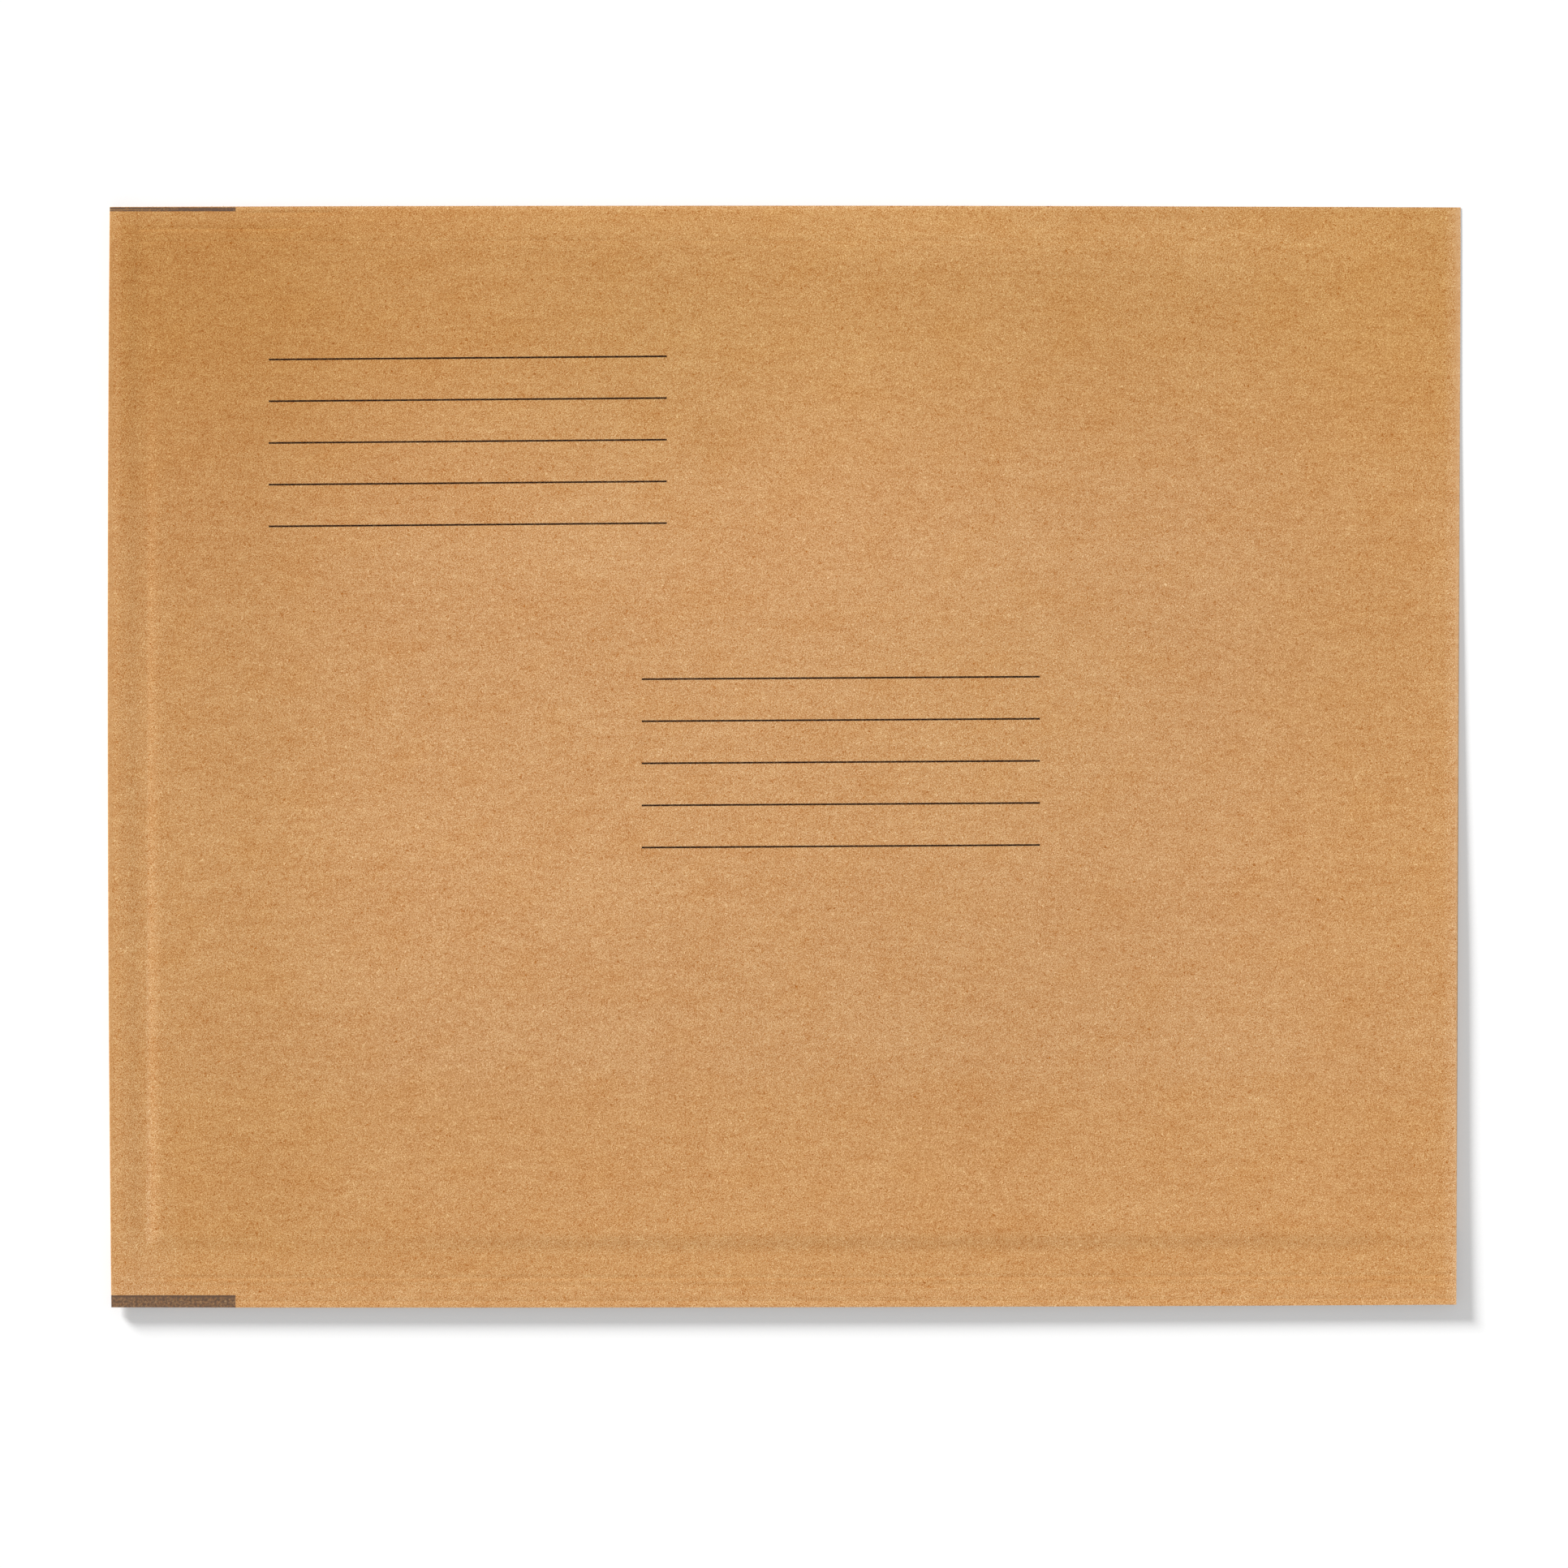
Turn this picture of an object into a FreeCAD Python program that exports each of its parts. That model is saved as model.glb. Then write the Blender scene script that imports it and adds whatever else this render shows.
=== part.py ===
"""A kraft padded mailer lying on its back: closed, empty, its flap folded under.

One sheet of kraft paper makes the face, the fold at the foot of the bag, the
back and the flap. A folded fibre pad lines it, a thinner paper lines the pad,
and both long edges are pressed flat, glued and cut as side seams. The flap is
turned under the back at the mouth, with its strip of adhesive still covered.

X runs along the mailer from the flap fold (-X) to the foot fold (+X), Y runs
across it from seam to seam, and Z points up from the table. The origin is the
middle of the footprint, on the table.
"""
import FreeCAD, Part
import math
import os

# Outside size, in millimetres.
LENGTH = 273.0  # from the flap fold to the foot fold
WIDTH = 222.0  # across the cut edges of the two side seams

# Thickness of each layer.
WRAP = 0.2  # outer kraft sheet
PAD = 1.78  # fibre pad where it lies loose
PAD_PINCHED = 0.3  # the same pad pressed in a side seam
LINER = 0.12  # inner paper

# Side seams.
SEAM = 12.7  # width of the pressed band
SEAM_STEP = 4.6  # run over which the padding swells from the band

# Mouth.
LIP_INSET = 6.0  # from the flap fold back to the mouth edge of the back panel
PAD_MARGIN = 1.4  # bare paper from that edge to the foot of the padded step
MOUTH_STEP = 4.0  # run over which the padding swells from the bare paper
PAD_BLUNT = 1.0  # how far up the step the blunt end of the pad stands

# Flap and its closure.
FLAP = 48.0  # from the flap fold to the flap's free edge
FLAP_CLEAR = 1.0  # the back stays lifted this far past the flap's edge
FLAP_RAMP = 14.0  # and then comes down to the table over this run
ADHESIVE = 0.1  # thickness of the adhesive
ADHESIVE_BAND = 15.0  # its width along X
RELEASE = 0.1  # thickness of the release paper over it
RELEASE_LIP = 3.5  # how far the release paper stands out past the adhesive
STRIP_EDGE = 7.0  # from the flap's free edge to the adhesive
STRIP_ENDS = 6.0  # from each end of the adhesive to the cut edge

# The lengthwise and crosswise outlines miss each other by this much where they
# would otherwise run into one another at a grazing angle.
HAIR = 0.02

# Levels. The bag is the same above and below its middle plane.
LINER_HALF_SEAM = LINER  # in a seam the two sides of the liner are glued together
PAD_HALF_SEAM = LINER_HALF_SEAM + PAD_PINCHED
SEAM_HALF = PAD_HALF_SEAM + WRAP
POCKET_HALF = PAD_PINCHED  # the empty pocket, whose mouth is level with the seams
LINER_HALF = POCKET_HALF + LINER
PAD_HALF = LINER_HALF + PAD
BODY_HALF = PAD_HALF + WRAP
MIDDLE = BODY_HALF
TOP = MIDDLE + BODY_HALF
SEAM_TOP = MIDDLE + SEAM_HALF
MARGIN_TOP = SEAM_TOP + HAIR  # the bare margin of the mouth
MARGIN_BOTTOM = MIDDLE - SEAM_HALF - HAIR
OVER_FLAP = WRAP + ADHESIVE + RELEASE  # the back's underside where the flap is below

# Places along X.
FLAP_FOLD_X = -LENGTH / 2
LIP_X = FLAP_FOLD_X + LIP_INSET
STEP_FOOT_X = LIP_X + PAD_MARGIN
STEP_TOP_X = STEP_FOOT_X + MOUTH_STEP
FLAP_END_X = FLAP_FOLD_X + FLAP
FOOT_CENTRE_X = LENGTH / 2 - BODY_HALF  # axis of the rounded fold at the foot
FLAP_RADIUS = MARGIN_TOP / 2  # outer radius of the fold that turns the flap under
FLAP_CENTRE_X = FLAP_FOLD_X + FLAP_RADIUS


def along_x(x, z):
    """A point of a profile that lies in the XZ plane."""
    return FreeCAD.Vector(x, 0, z)


def across_y(y, z):
    """A point of a profile that lies in the YZ plane."""
    return FreeCAD.Vector(0, y, z)


class Track:
    """A surface's outline: level stretches joined by soft steps of two equal arcs.

    Stations are (place, level) pairs in order. Neighbours of one level are
    joined by a line, and the others by a step that is level at both ends. The
    outline can be raised by a distance that is measured square to it, so two
    faces of one sheet of paper come from the same stations.
    """

    def __init__(self, *stations):
        self.stations = stations

    def mirrored(self):
        """The same outline on the other side of the bag's middle plane."""
        return Track(*[(place, 2 * MIDDLE - level) for place, level in self.stations])

    def start(self, raised, plane):
        place, level = self.stations[0]
        return plane(place, level + raised)

    def end(self, raised, plane):
        place, level = self.stations[-1]
        return plane(place, level + raised)

    def edges(self, raised, plane):
        """The outline's edges in order, raised by the given distance."""
        made = []
        for (p0, z0), (p1, z1) in zip(self.stations, self.stations[1:]):
            if z0 == z1:
                made.append(line(plane(p0, z0 + raised), plane(p1, z1 + raised)))
            else:
                made += step_arcs(p0, z0, p1, z1, raised, plane)
        return made


def line(start, end):
    """A straight edge."""
    return Part.LineSegment(start, end).toShape()


def arc(centre, radius, first, last, plane):
    """An arc about a centre, between two angles in radians."""
    angles = (first, (first + last) / 2, last)
    points = [
        plane(centre[0] + radius * math.cos(a), centre[1] + radius * math.sin(a))
        for a in angles
    ]
    return Part.Arc(*points).toShape()


def step_arcs(p0, z0, p1, z1, raised, plane):
    """The two arcs of a soft step from level z0 at p0 to level z1 at p1."""
    run = p1 - p0
    rise = z1 - z0
    radius = (run**2 + rise**2) / (4 * abs(rise))
    turn = math.asin(run / (2 * radius))
    up = math.copysign(1, rise)
    quarter = math.pi / 2
    # A step up starts at the bottom of its first arc and ends at the top of its second.
    first = arc((p0, z0 + up * radius), radius - up * raised,
                -up * quarter, -up * (quarter - turn), plane)
    second = arc((p1, z1 - up * radius), radius + up * raised,
                 up * (quarter + turn), up * quarter, plane)
    return [first, second]


def sloped_band(flat_half, seam_half):
    """The YZ outline of a thin inner layer: thinner in the seams, by a slope."""
    edge = WIDTH / 2
    slope_foot = edge - SEAM
    slope_top = slope_foot - SEAM_STEP
    right = [(edge, seam_half), (slope_foot, seam_half), (slope_top, flat_half + HAIR)]
    left = [(-y, half) for y, half in reversed(right)]
    above = [across_y(y, MIDDLE + half) for y, half in right + left]
    below = [across_y(y, MIDDLE - half) for y, half in reversed(right + left)]
    corners = above + (below if seam_half else below[1:-1])
    return Part.makePolygon(corners + corners[:1])


def extruded(wire, direction):
    """The solid that a closed outline sweeps along a straight direction."""
    return Part.Face(wire).extrude(direction)


def lengthwise(wire):
    """A YZ outline drawn out along the whole mailer."""
    wire.translate(FreeCAD.Vector(FLAP_FOLD_X, 0, 0))
    return extruded(wire, FreeCAD.Vector(LENGTH, 0, 0))


def crosswise(wire):
    """An XZ outline drawn out from seam edge to seam edge."""
    wire.translate(FreeCAD.Vector(0, -WIDTH / 2, 0))
    return extruded(wire, FreeCAD.Vector(0, WIDTH, 0))


def face_track():
    """The top of the bag in XZ: the mouth's margin, the padded step and the face."""
    return Track(
        (LIP_X, MARGIN_TOP),
        (STEP_FOOT_X, MARGIN_TOP),
        (STEP_TOP_X, TOP),
        (FOOT_CENTRE_X, TOP),
    )


def back_track():
    """The underside in XZ, which rides over the turned-under flap and then rests."""
    return Track(
        (LIP_X, MARGIN_BOTTOM),
        (STEP_FOOT_X, MARGIN_BOTTOM),
        (STEP_TOP_X, OVER_FLAP),
        (FLAP_END_X + FLAP_CLEAR, OVER_FLAP),
        (FLAP_END_X + FLAP_CLEAR + FLAP_RAMP, 0.0),
        (FOOT_CENTRE_X, 0.0),
    )


def seam_track():
    """The top of the bag in YZ: a seam, its padded step, and the same on the far side."""
    edge = WIDTH / 2
    crown = TOP + HAIR
    return Track(
        (-edge, SEAM_TOP),
        (-edge + SEAM, SEAM_TOP),
        (-edge + SEAM + SEAM_STEP, crown),
        (edge - SEAM - SEAM_STEP, crown),
        (edge - SEAM, SEAM_TOP),
        (edge, SEAM_TOP),
    )


def closed(edges):
    """One closed outline from edges in any order."""
    return Part.Wire(Part.__sortEdges__(edges))


def bag_across(inset):
    """The bag's YZ outline, an inset inside its outer surface."""
    upper = seam_track()
    lower = upper.mirrored()
    return closed(
        upper.edges(-inset, across_y)
        + [line(upper.end(-inset, across_y), lower.end(inset, across_y))]
        + lower.edges(inset, across_y)
        + [line(lower.start(inset, across_y), upper.start(-inset, across_y))]
    )


def foot_fold(half):
    """The half circle that turns a layer round the foot of the bag."""
    quarter = math.pi / 2
    return arc((FOOT_CENTRE_X, MIDDLE), half, quarter, -quarter, along_x)


def bag_along(inset):
    """The bag's XZ outline, an inset inside its outer surface, cut off at the mouth."""
    upper = face_track()
    lower = back_track()
    return closed(
        upper.edges(-inset, along_x)
        + [foot_fold(BODY_HALF - inset)]
        + lower.edges(inset, along_x)
        + [line(lower.start(inset, along_x), upper.start(-inset, along_x))]
    )


def bag(inset):
    """Everything inside the outer surface by an inset."""
    return crosswise(bag_along(inset)).common(lengthwise(bag_across(inset)))


def inner_layer(flat_half, seam_half):
    """Everything inside a surface of the flat lining, rounded at the foot of the bag."""
    above = MIDDLE + flat_half
    below = MIDDLE - flat_half
    outline = closed([
        line(along_x(LIP_X, above), along_x(FOOT_CENTRE_X, above)),
        foot_fold(flat_half),
        line(along_x(FOOT_CENTRE_X, below), along_x(LIP_X, below)),
        line(along_x(LIP_X, below), along_x(LIP_X, above)),
    ])
    return crosswise(outline).common(lengthwise(sloped_band(flat_half, seam_half)))


def flap_and_fold():
    """The sheet past the mouth: its fold, and the flap that it turns under the back."""
    quarter = math.pi / 2
    centre = (FLAP_CENTRE_X, FLAP_RADIUS)
    margin_under = MARGIN_TOP - WRAP
    return crosswise(closed([
        line(along_x(LIP_X, MARGIN_TOP), along_x(FLAP_CENTRE_X, MARGIN_TOP)),
        arc(centre, FLAP_RADIUS, quarter, 3 * quarter, along_x),
        line(along_x(FLAP_CENTRE_X, 0), along_x(FLAP_END_X, 0)),
        line(along_x(FLAP_END_X, 0), along_x(FLAP_END_X, WRAP)),
        line(along_x(FLAP_END_X, WRAP), along_x(FLAP_CENTRE_X, WRAP)),
        arc(centre, FLAP_RADIUS - WRAP, 3 * quarter, quarter, along_x),
        line(along_x(FLAP_CENTRE_X, margin_under), along_x(LIP_X, margin_under)),
        line(along_x(LIP_X, margin_under), along_x(LIP_X, MARGIN_TOP)),
    ]))


def outer_wrap():
    """The kraft sheet: face, foot fold, back and flap, all one piece."""
    return bag(0.0).cut(bag(WRAP)).fuse(flap_and_fold()).removeSplitter()


def fibre_padding():
    """The folded pad, pinched thin in the seams and stopped short of the mouth."""
    pad = bag(WRAP).cut(inner_layer(LINER_HALF, LINER_HALF_SEAM))
    bare_run = STEP_FOOT_X + PAD_BLUNT - LIP_X
    between_seams = WIDTH - 2 * SEAM
    bare = Part.makeBox(
        bare_run, between_seams, TOP, FreeCAD.Vector(LIP_X, -between_seams / 2, 0)
    )
    return pad.cut(bare).removeSplitter()


def inner_liner():
    """The paper inside the pad, folded at the foot and glued to itself in the seams."""
    pocket = inner_layer(POCKET_HALF, 0.0)
    return inner_layer(LINER_HALF, LINER_HALF_SEAM).cut(pocket).removeSplitter()


def strip_on_flap(lip, level, thickness):
    """A straight strip along the flap's free edge, wider than the adhesive by a lip."""
    start_x = FLAP_END_X - STRIP_EDGE - ADHESIVE_BAND - lip
    return Part.makeBox(
        ADHESIVE_BAND + 2 * lip,
        WIDTH - 2 * STRIP_ENDS,
        thickness,
        FreeCAD.Vector(start_x, STRIP_ENDS - WIDTH / 2, level),
    )


def adhesive_strip():
    """The band of adhesive on the inner side of the flap."""
    return strip_on_flap(0.0, WRAP, ADHESIVE)


def release_liner():
    """The peel-off paper that covers the adhesive."""
    return strip_on_flap(RELEASE_LIP, WRAP + ADHESIVE, RELEASE)


PIECES = {
    "outer_wrap": outer_wrap,
    "fibre_padding": fibre_padding,
    "inner_liner": inner_liner,
    "adhesive_strip": adhesive_strip,
    "release_liner": release_liner,
}


def main():
    """Builds every piece and writes one STEP file for each."""
    os.makedirs("parts", exist_ok=True)
    for name, build in PIECES.items():
        piece = build()
        piece.exportStep(f"parts/{name}.step")
        box = piece.BoundBox
        print(
            f"{name}: {len(piece.Solids)} solid, valid {piece.isValid()}, "
            f"{piece.Volume / 1000:.2f} cm3, "
            f"x {box.XMin:.2f} {box.XMax:.2f} y {box.YMin:.2f} {box.YMax:.2f} "
            f"z {box.ZMin:.2f} {box.ZMax:.2f}"
        )


main()
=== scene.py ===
"""A kraft padded mailer lying face up on a white table, in Blender.

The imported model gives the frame: sizes and places come from its boxes. The
paper, the pad and the liner are rebuilt here as soft layers that share one
relief, so that they stay nested where the bag swells, dips or curls.
"""
import logging
import math
from dataclasses import dataclass, fields
from enum import Enum
from functools import cached_property, reduce
from operator import add, mul
from typing import Callable, Iterable

import bpy
import numpy as np
from bpy.types import Material, Node, NodeSocket, NodeTree, Object
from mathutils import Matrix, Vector


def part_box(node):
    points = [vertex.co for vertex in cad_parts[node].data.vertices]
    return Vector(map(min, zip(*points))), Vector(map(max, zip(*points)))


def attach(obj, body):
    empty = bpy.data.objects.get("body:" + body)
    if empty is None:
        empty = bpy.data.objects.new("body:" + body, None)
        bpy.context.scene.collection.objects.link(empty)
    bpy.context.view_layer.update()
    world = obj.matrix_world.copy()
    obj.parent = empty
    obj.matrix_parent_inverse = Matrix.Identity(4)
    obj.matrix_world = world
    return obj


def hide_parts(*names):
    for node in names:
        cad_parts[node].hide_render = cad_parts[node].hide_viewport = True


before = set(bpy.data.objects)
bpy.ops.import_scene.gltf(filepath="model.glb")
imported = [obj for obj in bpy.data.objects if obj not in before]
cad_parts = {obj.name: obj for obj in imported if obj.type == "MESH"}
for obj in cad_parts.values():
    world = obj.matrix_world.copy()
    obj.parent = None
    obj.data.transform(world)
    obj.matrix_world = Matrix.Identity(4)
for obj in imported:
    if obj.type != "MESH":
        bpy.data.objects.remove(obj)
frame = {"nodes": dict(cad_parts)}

LOG = logging.getLogger("padded_mailer")
MM = 0.001
BODY = "root"
Colour = tuple[float, float, float]
Span = tuple[float, float]


def mm(*values: float) -> tuple[float, ...]:
    """Millimetres as metres."""
    return tuple(value * MM for value in values)


class Side(Enum):
    """Which half of the bag a point of a layer lies in, as the relief reads it."""

    FACE = 1.0
    BACK = -1.0
    FLAP = 0.0


class Ease(Enum):
    """How a ramp leaves its start and reaches its end."""

    LINEAR = "LINEAR"
    SMOOTH = "SMOOTHSTEP"
    SMOOTHER = "SMOOTHERSTEP"


class Measure(Enum):
    """What a ramp runs over: a place on the bag, or how far in from an edge it is."""

    X = "x"
    Y = "y"
    NEAR = "near"
    FAR = "far"
    FROM_MOUTH = "from_mouth"


# ---- node maths


class Nodes:
    """Adds nodes to one shader or geometry tree and feeds their sockets."""

    def __init__(self, tree: NodeTree) -> None:
        """Keeps the tree that the nodes go in."""
        self.tree = tree

    def add(self, kind: str, settings: dict | None = None, inputs: dict | None = None) -> Node:
        """Adds one node.

        Args:
            kind: The node's type, such as ShaderNodeMapping.
            settings: The node's own properties, set before its sockets.
            inputs: Socket name or index to a plain value, a socket or a Value.

        Returns:
            The new node.
        """
        node = self.tree.nodes.new(kind)
        for name, value in (settings or {}).items():
            setattr(node, name, value)
        for key, value in (inputs or {}).items():
            self.feed(node.inputs[key], value)
        return node

    def feed(self, socket: NodeSocket, value: object) -> None:
        """Links a socket to a Value or a socket, or sets it to a plain value.

        Args:
            socket: The input to feed.
            value: What it takes.
        """
        if isinstance(value, Value):
            value = value.socket
        if isinstance(value, NodeSocket):
            self.tree.links.new(value, socket)
        else:
            socket.default_value = value

    def value(self, kind: str, settings: dict | None = None, inputs: dict | None = None,
              output: str | int = 0) -> "Value":
        """Adds a node and wraps one of its outputs, ready for arithmetic."""
        return Value(self, self.add(kind, settings, inputs).outputs[output])


def math_method(operation: str, reflected: bool = False) -> Callable[..., "Value"]:
    """A method of Value that adds one Math node.

    Args:
        operation: The Math node's operation.
        reflected: Whether the other number comes before this one.

    Returns:
        The method.
    """
    def method(self: "Value", *others: object) -> "Value":
        """The node's result for this number and the others."""
        terms = (*others, self) if reflected else (self, *others)
        return self.nodes.value("ShaderNodeMath", {"operation": operation}, dict(enumerate(terms)))

    return method


class Value:
    """A number that flows through a tree: operators on it add Math nodes."""

    def __init__(self, nodes: Nodes, socket: NodeSocket) -> None:
        """Keeps the tree and the output that carries the number."""
        self.nodes, self.socket = nodes, socket

    __add__ = __radd__ = math_method("ADD")
    __mul__ = __rmul__ = math_method("MULTIPLY")
    __sub__ = math_method("SUBTRACT")
    __rsub__ = math_method("SUBTRACT", reflected=True)
    __truediv__ = math_method("DIVIDE")
    __pow__ = math_method("POWER")
    __abs__ = math_method("ABSOLUTE")
    __gt__ = math_method("GREATER_THAN")
    __lt__ = math_method("LESS_THAN")
    larger = math_method("MAXIMUM")
    smaller = math_method("MINIMUM")
    wrapped = math_method("WRAP")

    def ramp(self, start: float, end: float, ease: Ease = Ease.SMOOTHER,
             least: float = 0.0) -> "Value":
        """Least at the start and 1 at the end, held outside them; either may be the lower."""
        (low, at_low), (high, at_high) = sorted(((start, least), (end, 1.0)))
        return self.nodes.value("ShaderNodeMapRange", {"interpolation_type": ease.value}, {
            "Value": self, "From Min": low, "From Max": high, "To Min": at_low, "To Max": at_high})


class ShapeTree(Nodes):
    """A geometry tree with named sizes, which shapes a piece and dresses it."""

    def __init__(self, name: str, sizes: dict[str, float]) -> None:
        """Starts the tree.

        Args:
            name: The tree's name.
            sizes: Its named inputs, and what each takes.
        """
        super().__init__(bpy.data.node_groups.new(name, "GeometryNodeTree"))
        face = self.tree.interface
        face.new_socket("Geometry", in_out="INPUT", socket_type="NodeSocketGeometry")
        self.inputs = {
            face.new_socket(label, in_out="INPUT", socket_type="NodeSocketFloat").identifier: size
            for label, size in sizes.items()}
        face.new_socket("Geometry", in_out="OUTPUT", socket_type="NodeSocketGeometry")
        self.given = self.add("NodeGroupInput")

    def size(self, label: str) -> Value:
        """One of the tree's named sizes."""
        return Value(self, self.given.outputs[label])

    def attribute(self, name: str) -> Value:
        """A float attribute of the piece's points."""
        return self.value("GeometryNodeInputNamedAttribute", {"data_type": "FLOAT"}, {"Name": name})

    def shape(self, piece: Object, geometry: NodeSocket, material: Material) -> Object:
        """Ends the tree, runs it on a piece and keeps the result as its plain mesh.

        Args:
            piece: The object.
            geometry: What the tree made.
            material: The piece's material.

        Returns:
            The same object, with no modifier left.
        """
        whole = self.add("GeometryNodeRealizeInstances", inputs={0: geometry})
        dressed = self.add("GeometryNodeSetMaterial", inputs={
            "Geometry": whole.outputs[0], "Material": material})
        self.add("NodeGroupOutput", inputs={0: dressed.outputs[0]})
        modifier = piece.modifiers.new("shape", "NODES")
        modifier.node_group = self.tree
        for identifier, size in self.inputs.items():
            modifier[identifier] = size
        piece.update_tag()
        graph = bpy.context.evaluated_depsgraph_get()
        plain = bpy.data.meshes.new_from_object(piece.evaluated_get(graph))
        piece.modifiers.remove(modifier)
        plain.name = piece.name
        piece.data = plain
        return piece


# ---- the bag


@dataclass(frozen=True)
class MailerSizes:
    """The mailer's sizes in metres: the boxes give most, and stock ones the rest."""

    half_length: float
    half_width: float
    thickness: float
    wrap: float
    lip_x: float
    liner_half: float
    over_flap: float
    seam: float = 12.7 * MM
    seam_step: float = 4.6 * MM
    pad_margin: float = 1.4 * MM
    mouth_step: float = 4.0 * MM
    pad_pinched: float = 0.3 * MM
    flap: float = 48.0 * MM
    flap_clear: float = 1.0 * MM
    flap_ramp: float = 14.0 * MM

    @classmethod
    def from_frame(cls) -> "MailerSizes":
        """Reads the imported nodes' boxes.

        Returns:
            The sizes of this mailer.
        """
        wrap_low, wrap_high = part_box("outer_wrap")
        pad_low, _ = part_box("fibre_padding")
        liner_low, liner_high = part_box("inner_liner")
        _, release_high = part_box("release_liner")
        return cls(
            half_length=wrap_high[0],
            half_width=wrap_high[1],
            thickness=wrap_high[2],
            wrap=pad_low[2] - wrap_low[2],
            lip_x=liner_low[0],
            liner_half=(liner_high[2] - liner_low[2]) / 2,
            over_flap=release_high[2],
        )

    @property
    def middle(self) -> float:
        """The level half way through the bag."""
        return self.thickness / 2

    @property
    def liner(self) -> float:
        """The inner paper's thickness."""
        return self.liner_half - self.pad_pinched

    @property
    def seam_half(self) -> float:
        """Half the thickness of a pressed seam."""
        return self.liner + self.pad_pinched + self.wrap

    @property
    def seam_top(self) -> float:
        """The level of a pressed seam's top."""
        return self.middle + self.seam_half

    @property
    def step_x(self) -> float:
        """Where the bare margin of the mouth ends and the padding starts."""
        return self.lip_x + self.pad_margin

    @property
    def foot_x(self) -> float:
        """The axis of the rounded fold at the foot."""
        return self.half_length - self.middle


@dataclass(frozen=True)
class Run:
    """A ramp over one measure, in millimetres: least at its start and 1 at its end."""

    measure: Measure
    start: float
    end: float
    ease: Ease = Ease.SMOOTHER
    least: float = 0.0


class Spot:
    """A place on the bag, and how far in from each edge it is."""

    foot_bow = 0.78 * MM
    foot_bow_run = (0.5, -1.0)

    def __init__(self, x: Value, y: Value, half_length: object, half_width: object) -> None:
        """Works out the place's measures.

        Args:
            x: The place along the bag.
            y: The place across it.
            half_length: Half the bag's length, a number or a Value.
            half_width: Half its width, a number or a Value.
        """
        self.x, self.y = x, y
        self.near, self.far = half_width + y, half_width - y
        self.from_mouth, self.from_foot = half_length + x, half_length - x
        self.long, self.tall = x / half_length, y / half_width

    def within(self, runs: Iterable[Run], share: object = 1.0) -> Value:
        """A share, times what each of some ramps is at this place."""
        return reduce(mul, [getattr(self, run.measure.value).ramp(
            *mm(run.start, run.end), run.ease, run.least) for run in runs], share)

    def away(self, x: float, y: float) -> Value:
        """How far the place is from another one."""
        return ((self.x - x) ** 2.0 + (self.y - y) ** 2.0) ** 0.5

    def foot_draw(self) -> Value:
        """How far the foot is drawn in here: most at its near corner."""
        return self.tall.ramp(*self.foot_bow_run, Ease.LINEAR) * self.foot_bow


@dataclass
class Loop:
    """One surface of a layer, as a run of points round the bag in the XZ plane."""

    x: np.ndarray
    full: np.ndarray
    pressed: np.ndarray
    side: np.ndarray

    @classmethod
    def joined(cls, *loops: "Loop") -> "Loop":
        """Several runs in a row, as one."""
        return cls(*(np.concatenate([getattr(run, field.name) for run in loops])
                     for field in fields(cls)))

    def turned(self) -> "Loop":
        """The same run from its other end."""
        return Loop(*(getattr(self, field.name)[::-1] for field in fields(self)))


def placed(name: str, data: bpy.types.ID) -> Object:
    """A new object in the scene."""
    made = bpy.data.objects.new(name, data)
    bpy.context.scene.collection.objects.link(made)
    return made


def graded(start: float, end: float, step: float) -> np.ndarray:
    """Evenly spaced places, a step apart at most, from start up to but not including end."""
    return np.linspace(start, end, max(2, math.ceil(abs(end - start) / step)), endpoint=False)


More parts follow.
